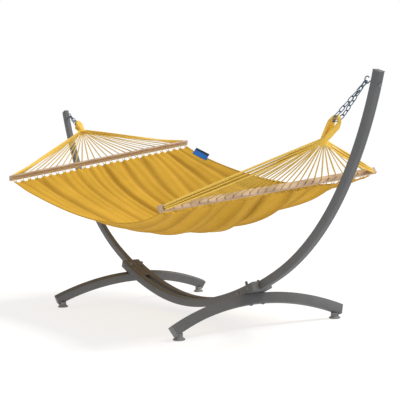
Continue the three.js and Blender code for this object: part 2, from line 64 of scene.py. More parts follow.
class Signal:
    """An output of a shader node that takes part in sums."""

    def __init__(self, tree, socket=None):
        self.tree = tree
        self.socket = socket

    def node(self, kind, settings=None, values=None, output=0):
        """A node of a type, with its settings made first and its sockets given values or links."""
        made = self.tree.nodes.new(kind)
        for name, value in (settings or {}).items():
            setattr(made, name, value)
        for key, value in (values or {}).items():
            if isinstance(key, int):
                socket = made.inputs[key]
            else:
                socket = next(s for s in made.inputs if key in (s.identifier, s.name))
            if isinstance(value, Signal):
                self.tree.links.new(value.socket, socket)
            elif isinstance(value, tuple) and len(value) == 3 and socket.type == "RGBA":
                socket.default_value = (*value, 1)
            else:
                socket.default_value = value
        return Signal(self.tree, made.outputs[output])

    def sum(self, operation, a, b):
        return self.node("ShaderNodeMath", {"operation": operation}, {0: a, 1: b})

    def __add__(self, other):
        return self.sum("ADD", self, other)

    def __radd__(self, other):
        return self.sum("ADD", other, self)

    def __mul__(self, other):
        return self.sum("MULTIPLY", self, other)

    def __rmul__(self, other):
        return self.sum("MULTIPLY", other, self)

    def blend(self, low, high):
        values = {"Factor_Float": self, "A_Color": low, "B_Color": high}
        return self.node("ShaderNodeMix", {"data_type": "RGBA"}, values, 2)

    def between(self, low, high):
        values = {"Value": self, "From Min": low, "From Max": high}
        return self.node("ShaderNodeMapRange", {"interpolation_type": "SMOOTHSTEP"}, values)


def new_finish(name):
    """An empty material. Returns it with a signal to build on."""
    material = bpy.data.materials.new(name)
    material.use_nodes = True
    material.node_tree.nodes.clear()
    return material, Signal(material.node_tree)


def close_finish(start, values, height=None, strength=0.3, distance=0.001):
    """Ends a material in a principled shader, with a bump if there is a height."""
    if height is not None:
        values["Normal"] = start.node(
            "ShaderNodeBump", None, {"Height": height, "Strength": strength, "Distance": distance}
        )
    shader = start.node("ShaderNodeBsdfPrincipled", None, values)
    output = start.tree.nodes.new("ShaderNodeOutputMaterial")
    start.tree.links.new(shader.socket, output.inputs["Surface"])


def object_place(start, scale=(1, 1, 1), turn=(0, 0, 0)):
    """A place on the piece in metres, stretched and turned for a pattern."""
    place = start.node("ShaderNodeTexCoord", None, None, 3)
    return start.node("ShaderNodeMapping", None, {"Vector": place, "Scale": scale, "Rotation": turn})


def cloud(start, place, scale, detail=2.0, roughness=0.5):
    values = {"Vector": place, "Scale": scale, "Detail": detail, "Roughness": roughness}
    return start.node("ShaderNodeTexNoise", None, values)


studio_floor, start = new_finish("studio_floor")
close_finish(start, {
    "Base Color": (0.30, 0.30, 0.30, 1),
    "Roughness": 0.95,
    "Specular IOR Level": 0.0,
    "Emission Color": (1, 1, 1, 1),
    "Emission Strength": 0.74,
})
bpy.ops.mesh.primitive_plane_add(size=60, location=(0, 0, 0))
floor = bpy.context.object
floor.name = "floor"
floor.data.materials.append(studio_floor)

# The sky looks white to the camera and lights the object a little less, so the sun can shade it.
sky_light, sun_strength, sun_breadth = 0.50, 2.5, math.radians(22)
sky = bpy.data.worlds.new("sky")
bpy.context.scene.world = sky
sky.use_nodes = True
light_path = sky.node_tree.nodes.new("ShaderNodeLightPath")
dimmer = sky.node_tree.nodes.new("ShaderNodeMapRange")
dimmer.inputs["To Min"].default_value = sky_light
dimmer.inputs["To Max"].default_value = 1.0
sky.node_tree.links.new(light_path.outputs["Is Camera Ray"], dimmer.inputs["Value"])
sky.node_tree.links.new(dimmer.outputs["Result"], sky.node_tree.nodes["Background"].inputs["Strength"])
sky.node_tree.nodes["Background"].inputs["Color"].default_value = (1, 1, 1, 1)
sun = bpy.data.objects.new("sun", bpy.data.lights.new("sun", "SUN"))
bpy.context.scene.collection.objects.link(sun)
sun.data.energy = sun_strength
sun.data.angle = sun_breadth
sun.rotation_euler = Vector((-0.30, -0.62, -1)).to_track_quat("-Z", "Y").to_euler()

# ---- Rails and arms ----
# Rectangular steel tubes with rounded edges, rolled to a chain of arcs and powder coated grey.
# Two rails lie side by side along the floor, and an arm rises from between them at each end.

both_ends, both_faces = (("right", 1), ("left", -1)), (("front", -1), ("back", 1))
lengthways, crossways, skyward = Vector((1, 0, 0)), Vector((0, 1, 0)), Vector((0, 0, 1))
gap, weld = 0.0003, 0.00001
lowest_top = 0.101
arc = ((0.322, 1.736), (1.027, 2.556), (1.730, 1.548), (9.0, 1.947))  # how far each arc reaches, and its radius
wall, tube_corner, bend_step = 0.002, 0.004, 0.035
rail_width, rail_depth, rail_end = 0.045, 0.050, 0.830
arm_width, arm_depth, arm_start, arm_end = 0.035, 0.050, 0.575, 2.380
arm_clearance = 0.0005
rail_inner = arm_width / 2 + arm_clearance
rail_middle = rail_inner + rail_width / 2
rail_outer = rail_inner + rail_width


def station(s):
    """Place and slope of the arc's top line at a distance along it."""
    x, z, angle, done = 0.0, lowest_top, 0.0, 0.0
    for reach, radius in arc:
        length = min(abs(s), reach) - done
        if length <= 0:
            break
        turned = angle + length / radius
        x += radius * (math.sin(turned) - math.sin(angle))
        z += radius * (math.cos(angle) - math.cos(turned))
        angle, done = turned, reach
    return (-x, z, -angle) if s < 0 else (x, z, angle)


def below(s, depth, y=0.0):
    """A point square below the arc's top line, y towards the back."""
    x, z, angle = station(s)
    return Vector((x + depth * math.sin(angle), y, z - depth * math.cos(angle)))


def along_arc(s):
    angle = station(s)[2]
    return Vector((math.cos(angle), 0, math.sin(angle)))


def frame_at(place, z_axis, x_hint):
    """A placement with its Z axis along one direction and X as near as it can be to another."""
    z = z_axis.normalized()
    x = (x_hint - z * x_hint.dot(z)).normalized()
    return Matrix.Translation(place) @ Matrix((x, z.cross(x), z)).transposed().to_4x4()


def powder_coat(name, colour, roughness):
    """Matt coating, a little mottled, with a fine speckle that stands up from it."""
    material, start = new_finish(name)
    place = object_place(start)
    mottle = cloud(start, place, 9, 3)
    speckle = cloud(start, place, 900, 2)
    tone = (mottle * 0.7 + speckle * 0.3).between(0.3, 0.7)
    dark = tuple(c * 0.93 for c in colour)
    light = tuple(min(c * 1.07, 1) for c in colour)
    values = {
        "Base Color": tone.blend(dark, light),
        "Roughness": mottle.between(0.2, 0.8) * 0.08 + roughness,
        "Metallic": 0.0,
        "Specular IOR Level": 0.3,
    }
    close_finish(start, values, speckle, 0.15, 0.0003)
    return material


grey_coat = powder_coat("grey_coat", (0.138, 0.140, 0.144), 0.55)


def settle(piece, placement):
    """Puts a piece at its place and writes the place into its mesh."""
    piece.matrix_world = placement
    bpy.ops.object.transform_apply(location=True, rotation=True, scale=True)


def start_section(name, placement, width, depth):
    """A rounded rectangular ring of edges at a placement, left in edit mode with all of it selected."""
    bpy.ops.object.select_all(action="DESELECT")
    bpy.ops.mesh.primitive_plane_add(size=1, location=(0, 0, 0))
    ring = bpy.context.object
    ring.name = name
    ring.scale = (depth, width, 1)
    bpy.ops.object.transform_apply(location=False, rotation=False, scale=True)
    settle(ring, placement)
    bpy.ops.object.mode_set(mode="EDIT")
    bpy.ops.mesh.select_all(action="SELECT")
    bpy.ops.mesh.bevel(affect="VERTICES", offset=tube_corner, segments=3)
    bpy.ops.mesh.select_all(action="SELECT")
    bpy.ops.mesh.delete(type="ONLY_FACE")
    bpy.ops.mesh.select_all(action="SELECT")
    return ring


def thicken(piece, thickness, offset=-1):
    """Gives the surface of the active piece a wall, inwards or, with no offset, half to each side."""
    solid = piece.modifiers.new("wall", "SOLIDIFY")
    solid.thickness = thickness
    solid.offset = offset
    bpy.ops.object.modifier_apply(modifier="wall")


def close_tube(tube):
    """Welds a swept tube, turns its faces outwards and gives it a wall."""
    bpy.ops.mesh.select_all(action="SELECT")
    bpy.ops.mesh.remove_doubles(threshold=weld)
    bpy.ops.mesh.normals_make_consistent(inside=False)
    bpy.ops.object.mode_set(mode="OBJECT")
    thicken(tube, wall)
    bpy.ops.object.shade_smooth_by_angle(angle=math.radians(35))


def arc_tube(name, from_s, to_s, width, depth, y):
    """A tube spun leg by leg round the centres of the arcs between two stations of one side."""
    side = 1 if to_s > from_s else -1
    section = frame_at(below(from_s, depth / 2, y), along_arc(from_s), -skyward)
    tube = start_section(name, section, width, depth)
    stops = {from_s, to_s, 0.0, *(sign * reach for reach, _ in arc for sign in (-1, 1))}
    stops = sorted((s for s in stops if from_s * side <= s * side <= to_s * side), key=lambda s: s * side)
    for here, there in zip(stops, stops[1:]):
        middle = abs(here + there) / 2
        radius = next(r for reach, r in arc if middle < reach)
        x, z, angle = station(here)
        centre = Vector((x - radius * math.sin(angle), y, z + radius * math.cos(angle)))
        steps = max(2, round(abs(there - here) / bend_step))
        bpy.ops.mesh.spin(steps=steps, angle=(there - here) / radius, center=centre, axis=(0, 1, 0))
    close_tube(tube)
    return tube


def take_place(piece, body, material, slot, *nodes):
    """Finishes a piece: its material, the body it rides on and the nodes it stands for. Its slot is not used."""
    piece.data.materials.clear()
    piece.data.materials.append(material)
    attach(piece, body)
    if nodes:
        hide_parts(*nodes)


for front, sign in both_faces:
    rail = arc_tube("steel_rail_" + front, -rail_end, rail_end, rail_width, rail_depth, sign * rail_middle)
    take_place(rail, "stand", grey_coat, "grey_steel", "rail_" + front)
for end, side in both_ends:
    arm = arc_tube("steel_arm_" + end, side * arm_start, side * arm_end, arm_width, arm_depth, 0)
    take_place(arm, "stand", grey_coat, "grey_steel", "arm_" + end)

# ---- Cross bars ----
# The same coated tube, in two bars that each arch across the stand in one arc, with a cap at each end.
# They are bolted square to the underside of the rails.

foot_width, foot_depth, foot_radius, foot_station, foot_half_span = 0.040, 0.060, 1.390, 0.745, 0.580
foot_steps = 36
foot_half_angle = math.asin(foot_half_span / foot_radius)
foot_middle = foot_radius - foot_depth / 2


def foot_frame(side):
    """X runs across the stand, Y square up from the rails, Z along them."""
    s = side * foot_station
    along = along_arc(s)
    up = Vector((-along.z, 0, along.x))
    return Matrix.Translation(below(s, 0)) @ Matrix((up.cross(along), up, along)).transposed().to_4x4()


def foot_point(side, y, depth):
    return foot_frame(side) @ Vector((y, -depth, 0))


def foot_dip(y):
    """How far the arch has dropped at a distance from its middle."""
    return foot_radius - math.sqrt(foot_radius**2 - y**2)


for end, side in both_ends:
    placed = foot_frame(side)
    centre = Vector((0, -rail_depth - gap - foot_radius, 0))
    tip = centre + Vector((-foot_middle * math.sin(foot_half_angle), foot_middle * math.cos(foot_half_angle), 0))
    forwards = Vector((math.cos(foot_half_angle), math.sin(foot_half_angle), 0))
    section = placed @ frame_at(tip, forwards, crossways)
    bar = start_section("steel_cross_bar_" + end, section, foot_width, foot_depth)
    axis = placed.to_3x3() @ skyward
    bpy.ops.mesh.spin(steps=foot_steps, angle=2 * foot_half_angle, center=placed @ centre, axis=axis)
    close_tube(bar)
    take_place(bar, "stand", grey_coat, "grey_steel", "foot_bar_" + end)

# ---- End caps ----
# Push-in plastic caps, a shade lighter than the steel, at the tops of the arms and the ends of the rails and
# cross bars. Each is a flange with a soft edge and a plug that sits inside the tube.

cap_flange, cap_plug, plug_clearance, soft_edge, edge_drop = 0.005, 0.018, 0.0012, 0.0018, 0.0014
facing, rim_band = 0.9, 0.0005
cap_grey = powder_coat("cap_grey", (0.21, 0.21, 0.21), 0.55)


def block(name, size, centre=(0, 0, 0)):
    """A plain box, left in edit mode."""
    bpy.ops.object.select_all(action="DESELECT")
    bpy.ops.mesh.primitive_cube_add(size=1, location=centre)
    box = bpy.context.object
    box.name = name
    box.scale = size
    bpy.ops.object.transform_apply(location=True, rotation=True, scale=True)
    bpy.ops.object.mode_set(mode="EDIT")
    return box


def pick(piece, kind, test):
    """Selects, in edit mode, the edges, faces or vertices for which a test holds."""
    mesh = bmesh.from_edit_mesh(piece.data)
    bpy.ops.mesh.select_all(action="DESELECT")
    for part in getattr(mesh, kind):
        part.select_set(test(part))
    bmesh.update_edit_mesh(piece.data)


def face_outwards(sharpest):
    """Turns the faces of the active piece outwards and smooths all but its sharpest edges."""
    bpy.ops.object.mode_set(mode="EDIT")
    bpy.ops.mesh.select_all(action="SELECT")
    bpy.ops.mesh.normals_make_consistent(inside=False)
    bpy.ops.object.mode_set(mode="OBJECT")
    bpy.ops.object.shade_smooth_by_angle(angle=math.radians(sharpest))


def end_cap(name, placement, width, depth):
    """A cap whose Z axis points out of the tube and whose X axis runs down its depth."""
    near_top = gap + cap_flange * facing
    cap = block(name, (depth, width, cap_flange), (0, 0, gap + cap_flange / 2))
    pick(cap, "edges", lambda edge: abs(edge.verts[0].co.z - edge.verts[1].co.z) > cap_flange / 2)
    bpy.ops.mesh.bevel(affect="EDGES", offset=tube_corner, segments=3)
    bpy.ops.mesh.select_mode(type="FACE")
    pick(cap, "faces", lambda face: face.normal.z < -facing)
    bpy.ops.mesh.inset(thickness=wall + plug_clearance, depth=0)
    bpy.ops.mesh.extrude_region_move(TRANSFORM_OT_translate={"value": (0, 0, -cap_plug)})
    pick(cap, "faces", lambda face: face.normal.z > facing and face.calc_center_median().z > near_top)
    bpy.ops.mesh.inset(thickness=soft_edge, depth=0.0)
    bpy.ops.object.mode_set(mode="OBJECT")
    for vertex in cap.data.vertices:
        x, y, z = vertex.co
        if z > near_top and max(abs(x) - depth / 2, abs(y) - width / 2) > -rim_band:
            vertex.co.z -= edge_drop
    settle(cap, placement)
    face_outwards(35)
    return cap


for end, side in both_ends:
    out = along_arc(side * arm_end) * side
    cap = end_cap(
        "arm_end_cap_" + end, frame_at(below(side * arm_end, arm_depth / 2), out, lengthways), arm_width, arm_depth
    )
    take_place(cap, "stand", cap_grey, "cap_plastic", "arm_cap_" + end)
    for front, sign in both_faces:
        out = along_arc(side * rail_end) * side
        placement = frame_at(below(side * rail_end, rail_depth / 2, sign * rail_middle), out, skyward)
        cap = end_cap(f"rail_end_cap_{end}_{front}", placement, rail_width, rail_depth)
        take_place(cap, "stand", cap_grey, "cap_plastic", f"rail_cap_{end}_{front}")
        y = sign * foot_middle * math.sin(foot_half_angle)
        tip = foot_point(side, y, rail_depth + gap + foot_radius - foot_middle * math.cos(foot_half_angle))
        turned = foot_frame(side).to_3x3()
        out = turned @ Vector((sign * math.cos(foot_half_angle), -math.sin(foot_half_angle), 0))
        placement = frame_at(tip, out, turned @ crossways)
        cap = end_cap(f"cross_bar_cap_{end}_{front}", placement, foot_width, foot_depth)
        take_place(cap, "stand", cap_grey, "cap_plastic", f"foot_cap_{end}_{front}")

# ---- Pads ----
# Dark moulded plastic feet, one near each end of a cross bar.
# Each has a round base with a soft rim, drawn in to a neck that meets the tube from below.

pad_offset, pad_radius, pad_neck, neck_gap = 0.530, 0.034, 0.022, 0.004
pad_grey = powder_coat("pad_grey", (0.24, 0.24, 0.24), 0.6)


def pick_up(piece):
    """Selects one piece alone and makes it the active one."""
    bpy.ops.object.select_all(action="DESELECT")
    piece.select_set(True)
    bpy.context.view_layer.objects.active = piece


def new_piece(name, data):
    """A new object of a mesh or a curve, selected alone."""
    piece = bpy.data.objects.new(name, data)
    bpy.context.scene.collection.objects.link(piece)
    pick_up(piece)
    return piece


def turned_piece(name, profile, placement, steps=40):
    """A body spun from a profile of radius and height, closed on its axis."""
    mesh = bpy.data.meshes.new(name)
    mesh.from_pydata([(r, 0, z) for r, z in profile], [(i, i + 1) for i in range(len(profile) - 1)], [])
    piece = new_piece(name, mesh)
    bpy.ops.object.mode_set(mode="EDIT")
    bpy.ops.mesh.select_all(action="SELECT")
    bpy.ops.mesh.spin(steps=steps, angle=2 * math.pi, center=(0, 0, 0), axis=(0, 0, 1))
    bpy.ops.mesh.select_all(action="SELECT")
    bpy.ops.mesh.remove_doubles(threshold=weld)
    bpy.ops.mesh.normals_make_consistent(inside=False)
    bpy.ops.object.mode_set(mode="OBJECT")
    settle(piece, placement)
    bpy.ops.object.shade_smooth_by_angle(angle=math.radians(40))
    return piece


for end, side in both_ends:
    for front, sign in both_faces:
        y = sign * pad_offset
        seat = foot_point(side, y, rail_depth + gap + foot_dip(y) + foot_depth / 2)
        under = foot_point(side, y, rail_depth + gap + foot_dip(y) + foot_depth)
        profile = [
            (0, 0), (pad_radius - 0.003, 0), (pad_radius - 0.001, 0.001), (pad_radius, 0.003),
            (pad_radius, 0.006), (pad_radius - 0.002, 0.009), (pad_radius - 0.007, 0.011),
            (pad_neck + 0.003, 0.0135), (pad_neck, 0.018), (pad_neck, under.z - neck_gap), (0, under.z - neck_gap),
        ]
        pad = turned_piece(f"foot_rest_{end}_{front}", profile, Matrix.Translation((seat.x, seat.y, 0)))
        take_place(pad, "stand", pad_grey, "foot_plastic", f"foot_pad_{end}_{front}")

# ---- Bolts and nuts ----
# Zinc-plated bolts with domed heads. Pale closed nuts cover their ends: low ones on the cross bolts, tall
# ones on the rails.

bolt_radius, head_radius, head_height, bolt_steps = 0.004, 0.011, 0.006, 28
cross_stations, cross_depth, cross_tail, cross_nut_height = (0.670, 0.780), 0.025, 0.008, 0.014
cover_radius, cover_height, head_gap, short_of_cover = 0.008, 0.026, 0.0012, 0.012


def zinc_plate(name, colour, roughness):
    """Plating with a fine spangle and dull worn patches."""
    material, start = new_finish(name)
    place = object_place(start)
    cells = start.node("ShaderNodeTexVoronoi", None, {"Vector": place, "Scale": 420.0})
    wear = cloud(start, place, 60, 4)
    dark = tuple(c * 0.7 for c in colour)
    values = {
        "Base Color": (wear * 0.6 + cells * 0.6).between(0.2, 0.8).blend(dark, colour),
        "Roughness": wear * 0.2 + roughness,
        "Metallic": 0.85,
    }
    close_finish(start, values, wear, 0.2, 0.0003)
    return material


zinc = zinc_plate("zinc_plate", (0.14, 0.19, 0.25), 0.25)


def domed_bolt(name, placement, length):
    r, h = head_radius, head_height
    profile = [(0, -h), (0.45 * r, -0.95 * h), (0.8 * r, -0.7 * h), (0.97 * r, -0.3 * h), (r, 0), (bolt_radius, 0)]
    return turned_piece(name, [*profile, (bolt_radius, length), (0, length)], placement, bolt_steps)


def cover_nut(name, placement, radius, height):
    r, h = radius, height
    hole = bolt_radius + 0.0004
    profile = [(0, h - 0.004), (hole, h - 0.004), (hole, 0), (0.94 * r, 0), (r, 0.06 * r), (r, h - 0.6 * r)]
    dome = [(r * math.cos(a), h - 0.6 * r + 0.6 * r * math.sin(a)) for a in (0.4, 0.8, 1.2)]
    return turned_piece(name, [*profile, *dome, (0, h)], placement, bolt_steps)


for end, side in both_ends:
    for place, s in zip(("lower", "upper"), cross_stations):
        middle = below(side * s, cross_depth)
        head = middle + Vector((0, -rail_outer - gap, 0))
        bolt = domed_bolt(
            f"rail_bolt_{end}_{place}", frame_at(head, crossways, lengthways), 2 * rail_outer + cross_tail
        )
        take_place(bolt, "stand", cap_grey, "zinc_steel", f"cross_bolt_{end}_{place}")
        seat = middle + Vector((0, rail_outer + gap, 0))
        nut = cover_nut(
            f"rail_nut_{end}_{place}", frame_at(seat, crossways, lengthways), head_radius, cross_nut_height
        )
        take_place(nut, "stand", cap_grey, "cap_plastic", f"cross_nut_{end}_{place}")
    for front, sign in both_faces:
        y = sign * rail_middle
        up = foot_frame(side).to_3x3() @ crossways
        head = foot_point(side, y, rail_depth + gap + foot_dip(y) + foot_depth + head_gap)
        length = rail_depth + foot_depth + cover_height - short_of_cover + foot_dip(y)
        bolt = domed_bolt(f"upright_bolt_{end}_{front}", frame_at(head, up, crossways), length)
        take_place(bolt, "stand", zinc, "zinc_steel", f"foot_bolt_{end}_{front}")
        placement = frame_at(foot_point(side, y, -gap), up, crossways)
        nut = cover_nut(f"upright_nut_{end}_{front}", placement, cover_radius, cover_height)
        take_place(nut, "stand", cap_grey, "cap_plastic", f"foot_nut_{end}_{front}")

# ---- Hooks ----
# Bent zinc-plated rod, ending in an open ring that the chain hangs from.
# Its shank goes through the arm and is closed by a nut on the outer face.

hook_station, hook_wire, hook_ring, hook_reach = 2.320, 0.006, 0.017, 0.042
ring_start, ring_sweep, ring_steps = 0.35, 1.6 * math.pi, 44
shank_depths = (arm_depth + 0.009, -0.008, -0.014, -0.019)
hook_nut_radius, hook_nut_height = 0.009, 0.012


def ring_centre(side):
    return below(side * hook_station, -hook_reach)


def rod_along(name, points, diameter):
    """A round rod along points, made as a curve and turned into a mesh."""
    curve = bpy.data.curves.new(name, "CURVE")
    curve.dimensions = "3D"
    curve.bevel_depth = diameter / 2
    curve.bevel_resolution = 4
    curve.use_fill_caps = True
    spline = curve.splines.new("POLY")
    spline.points.add(len(points) - 1)
    for point, place in zip(spline.points, points):
        point.co = (*place, 1)
    new_piece(name, curve)
    bpy.ops.object.convert(target="MESH")
    bpy.ops.object.shade_smooth_by_angle(angle=math.radians(60))
    return bpy.context.object


for end, side in both_ends:
    centre = ring_centre(side)
    outward = (below(side * hook_station, 0) - centre).normalized()
    low = Vector((outward.z, 0, -outward.x)) * side
    turns = [ring_start + ring_sweep * i / ring_steps for i in range(ring_steps + 1)]
    ring = [centre + outward * hook_ring * math.cos(a) + low * hook_ring * math.sin(a) for a in turns]
    shank = [below(side * hook_station, depth) for depth in shank_depths]
    hook = rod_along("ring_hook_" + end, [*shank, *ring], hook_wire)
    take_place(hook, "stand", zinc, "zinc_steel", "hook_" + end)
    placement = frame_at(below(side * hook_station, arm_depth + gap), outward, crossways)
    nut = cover_nut("hook_cover_nut_" + end, placement, hook_nut_radius, hook_nut_height)
    take_place(nut, "stand", cap_grey, "cap_plastic", "hook_nut_" + end)

# ---- Chains ----
# Welded zinc-plated links. Each chain hangs doubled from its hook, in two strands side by side, and one more
# link lies across the turn in the eye.

link_wire, link_inner, link_width, link_bite = 0.0055, 0.036, 0.024, 0.0013
link_pitch, link_bend = link_inner + link_bite, (link_width - link_wire) / 2
link_straight = (link_inner + link_wire) / 2 - link_bend
hang_gap, strand_offset, eye_half = 0.004, 0.00295, 0.010
ends = {  # slope and roll in degrees, gather and bar as X and Z
    "right": {
        "side": 1, "links": 8, "spread": 0.027, "slope": 36.6,
        "gather": (1.408, 1.037), "bar": (0.965, 0.796), "roll": 5.7,
    },
    "left": {
        "side": -1, "links": 4, "spread": 0.017, "slope": 27.0,
        "gather": (-1.535, 1.192), "bar": (-1.205, 0.980), "roll": 8.6,
    },
}


def chain_places(end):
    """A chain's direction, where it bears on the hook, its joints' distances down it, and its turn in the eye."""
    slope = math.radians(end["slope"])
    along = Vector((-end["side"] * math.cos(slope), 0, -math.sin(slope)))
    bearing = ring_centre(end["side"]) + along * hook_ring
    first = link_wire / 2 - link_bite / 2 - (hook_wire / 2 + hang_gap + link_wire / 2)
    knee = first + math.sqrt((link_pitch * (end["links"] - 1)) ** 2 - end["spread"] ** 2)
    last = knee + math.sqrt(link_pitch**2 - (end["spread"] - link_pitch / 2 + link_wire / 2) ** 2)
    turn = bearing + along * (last + link_wire / 2 - link_bite / 2)
    return along, bearing, first, knee, last, turn


def copy_of(model, name, placement):
    copy = model.copy()
    copy.data = model.data.copy()
    copy.name = name
    copy.data.transform(placement)
    bpy.context.scene.collection.objects.link(copy)
    return copy


def joined(name, pieces):
    """Several pieces as one, which keeps the finish of the first."""
    pick_up(pieces[0])
    for piece in pieces:
        piece.select_set(True)
    bpy.ops.object.join()
    whole = bpy.context.object
    whole.name = name
    return whole


bpy.ops.object.select_all(action="DESELECT")
bpy.ops.mesh.primitive_torus_add(
    major_radius=link_bend,
    minor_radius=link_wire * 0.47,
    major_segments=24,
    minor_segments=10,
    rotation=(math.pi / 2, 0, 0),
)
model_link = bpy.context.object
bpy.ops.object.transform_apply(location=True, rotation=True, scale=True)
bpy.ops.object.mode_set(mode="EDIT")
for way in (1, -1):
    pick(model_link, "verts", lambda vertex: vertex.co.z * way > 5 * weld)
    bpy.ops.transform.translate(value=(0, 0, way * link_straight))
bpy.ops.object.mode_set(mode="OBJECT")
bpy.ops.object.shade_smooth_by_angle(angle=math.radians(60))

for name, end in ends.items():
    along, bearing, first, knee, last, turn = chain_places(end)
    normal = crossways.cross(along)
    places = []
    for strand in (-1, 1):
        offset = normal * strand * strand_offset
        top = bearing + along * first + offset
        low = bearing + along * knee + crossways * strand * end["spread"] + offset
        foot = bearing + along * last + crossways * strand * (link_pitch - link_wire) / 2 + offset
        run = (low - top).normalized()
        for i in range(end["links"] - 1):
            places.append(frame_at(top + run * link_pitch * (i + 0.5), run, normal if i % 2 else crossways))
        places.append(frame_at((low + foot) / 2, foot - low, normal))
    places.append(frame_at(turn, crossways * link_pitch / 2 + normal * strand_offset, along))
    chain = joined("link_chain_" + name, [copy_of(model_link, "link", placement) for placement in places])
    take_place(chain, "chains", zinc, "zinc_steel", "chain_" + name)
bpy.data.objects.remove(model_link)

# ---- Eyes ----
# A loop of the hammock's own yellow cloth, folded round the cords where they go through the chain.
# It is narrow inside the links, broad at its bend and drawn tight into the gather, under a wound collar.

eye_sides, path_steps, pleat_depth = 24, 8, 0.10
collar_steps, collar_start, collar_length = 24, -0.040, 0.052
collar_neck, collar_flare, wrap_height, wrap_count = 0.0175, 0.004, 0.0012, 4.5


def surface_place(start):
    """The piece's own UV map in metres, whole and in its two parts."""
    place = start.node("ShaderNodeUVMap", {"uv_map": "UVMap"})
    parts = start.node("ShaderNodeSeparateXYZ", None, {"Vector": place}).socket.node.outputs
    return place, Signal(start.tree, parts[0]), Signal(start.tree, parts[1])


def woven_cloth(name, dark, light, pitch, crease_shade_colour=None):
    """Plain weave: two sets of yarns, uneven in thickness and tone, with slubs along them, and painted shade in its
    creases when a shade colour is given.
    """
    material, start = new_finish(name)
    place, u, v = surface_place(start)
    ridge = 2 * math.pi / pitch
    warp = start.sum("SINE", u * ridge, 0.0)
    weft = start.sum("SINE", v * ridge, 0.0)
    weave = warp * weft * 0.5 + 0.5
    yarns = start.node("ShaderNodeMapping", None, {"Vector": place, "Scale": (260, 6, 1)})
    picks = start.node("ShaderNodeMapping", None, {"Vector": place, "Scale": (6, 260, 1)})
    slubs = cloud(start, yarns, 1.0, 2) * 0.5 + cloud(start, picks, 1.0, 2) * 0.5
    broad = cloud(start, place, 3.0, 3)
    tone = weave * 0.2 + slubs.between(0.3, 0.7) * 0.45 + broad.between(0.25, 0.75) * 0.35
    colour = tone.blend(dark, light)
    # painted shade: where the crease attribute is high, the colour is drawn towards a dark shade colour
    if crease_shade_colour:
        painted_crease_shade = start.node("ShaderNodeAttribute", {"attribute_name": "crease"}, None, 2)
        colour = painted_crease_shade.blend(colour, crease_shade_colour)
    values = {"Base Color": colour, "Roughness": slubs * 0.1 + 0.82, "Specular IOR Level": 0.15}
    close_finish(start, values, weave * 0.6 + slubs * 0.4, 0.35, 0.0006)
    return material


eye_cloth = woven_cloth("eye_cloth", (0.74, 0.45, 0.06), (0.98, 0.66, 0.13), 0.0016)


def skinned(name, sleeves):
    """One mesh of closed sleeves through rings of points, with U round each and V along it in metres."""
    points, faces, places = [], [], []
    for rings, run in sleeves:
        sides, base = len(rings[0]), len(points)
        points.extend(point for ring in rings for point in ring)
        for i in range(len(rings) - 1):
            a, b = base + i * sides, base + (i + 1) * sides
            low, high = run[i], run[i + 1]
            for j in range(sides):
                k = (j + 1) % sides
                left, right = j / sides, (j + 1) / sides
                faces.append((a + j, a + k, b + k, b + j))
                places.extend([(left, low), (right, low), (right, high), (left, high)])
        faces.append(tuple(base + j for j in reversed(range(sides))))
        faces.append(tuple(base + (len(rings) - 1) * sides + j for j in range(sides)))
        places.extend([(0.5, 0)] * (2 * sides))
    mesh = bpy.data.meshes.new(name)
    mesh.from_pydata(points, [], faces)
    layer = mesh.uv_layers.new(name="UVMap")
    for corner, (u, v) in zip(layer.data, places):
        corner.uv = (u * 0.1, v)
    return new_piece(name, mesh)


def smooth_path(points, count):
    """A Catmull-Rom line through a few points."""
    result = []
    for i in range(len(points) - 1):
        p = [points[min(max(i + k, 0), len(points) - 1)] for k in (-1, 0, 1, 2)]
        for step in range(count):
            t = step / count
            result.append(
                0.5 * (2 * p[1] + (p[2] - p[0]) * t + (2 * p[0] - 5 * p[1] + 4 * p[2] - p[3]) * t**2
                       + (3 * p[1] - p[0] - 3 * p[2] + p[3]) * t**3)
            )
    result.append(points[-1].copy())
    return result


def eye_line(end):
    """The top of an eye, the gather that it ends in, and the direction from one to the other."""
    along, *_, turn = chain_places(end)
    top = turn - along * (link_width / 2 + hang_gap + eye_half)
    gather = Vector((end["gather"][0], 0, end["gather"][1]))
    return top, gather, (gather - top).normalized()


def squared(value):
    """A sine or cosine drawn out towards a square, for the section of a flat fold."""
    return math.copysign(abs(value) ** 0.62, value)


